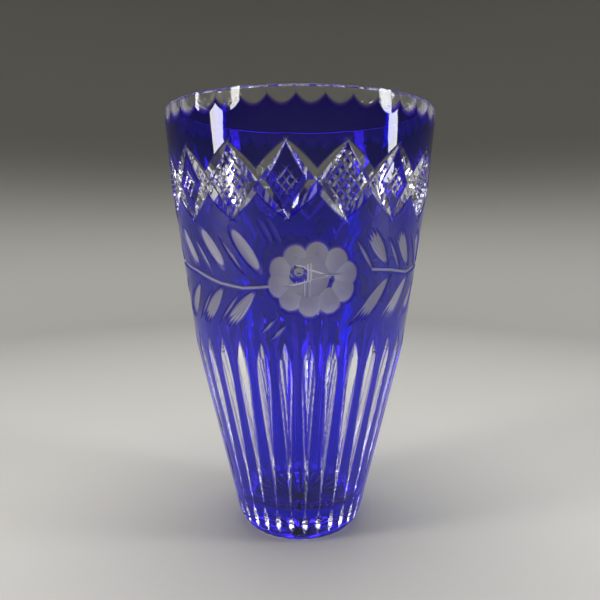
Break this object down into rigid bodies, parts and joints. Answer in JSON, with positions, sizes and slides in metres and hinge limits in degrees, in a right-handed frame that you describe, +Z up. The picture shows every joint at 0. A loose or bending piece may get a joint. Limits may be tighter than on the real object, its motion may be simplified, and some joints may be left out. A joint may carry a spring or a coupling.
{
  "type": "cut crystal vase",
  "caption": "Tall tapering cased-crystal vase: clear body under a cobalt skin, cut with rim scallops, diamonds, a floral garland, flutes and a star base.",
  "frame": {"origin": "centre of the resting face", "axes": "+Z up along the vase's axis, the front flower faces -Y, +X to the viewer's right"},
  "size_m": [0.1888, 0.1888, 0.3],
  "materials": {
    "clear_crystal": "polished lead crystal, ground matte in the engraved flowers and leaves",
    "cobalt_overlay": "polished cobalt-blue cased glass"
  },
  "bodies": {
    "root": {"crystal_body": "clear_crystal", "overlay_collar": "cobalt_overlay", "overlay_garland_and_ribs": "cobalt_overlay", "overlay_hatched_diamond_1": "cobalt_overlay", "overlay_crosshatched_diamond_2": "cobalt_overlay", "overlay_hatched_diamond_3": "cobalt_overlay", "overlay_crosshatched_diamond_4": "cobalt_overlay", "overlay_hatched_diamond_5": "cobalt_overlay", "overlay_crosshatched_diamond_6": "cobalt_overlay", "overlay_hatched_diamond_7": "cobalt_overlay", "overlay_crosshatched_diamond_8": "cobalt_overlay", "overlay_hatched_diamond_9": "cobalt_overlay", "overlay_crosshatched_diamond_10": "cobalt_overlay", "overlay_hatched_diamond_11": "cobalt_overlay", "overlay_crosshatched_diamond_12": "cobalt_overlay", "overlay_hatched_diamond_13": "cobalt_overlay", "overlay_crosshatched_diamond_14": "cobalt_overlay", "overlay_hatched_diamond_15": "cobalt_overlay", "overlay_crosshatched_diamond_16": "cobalt_overlay"}
  },
  "joints": []
}
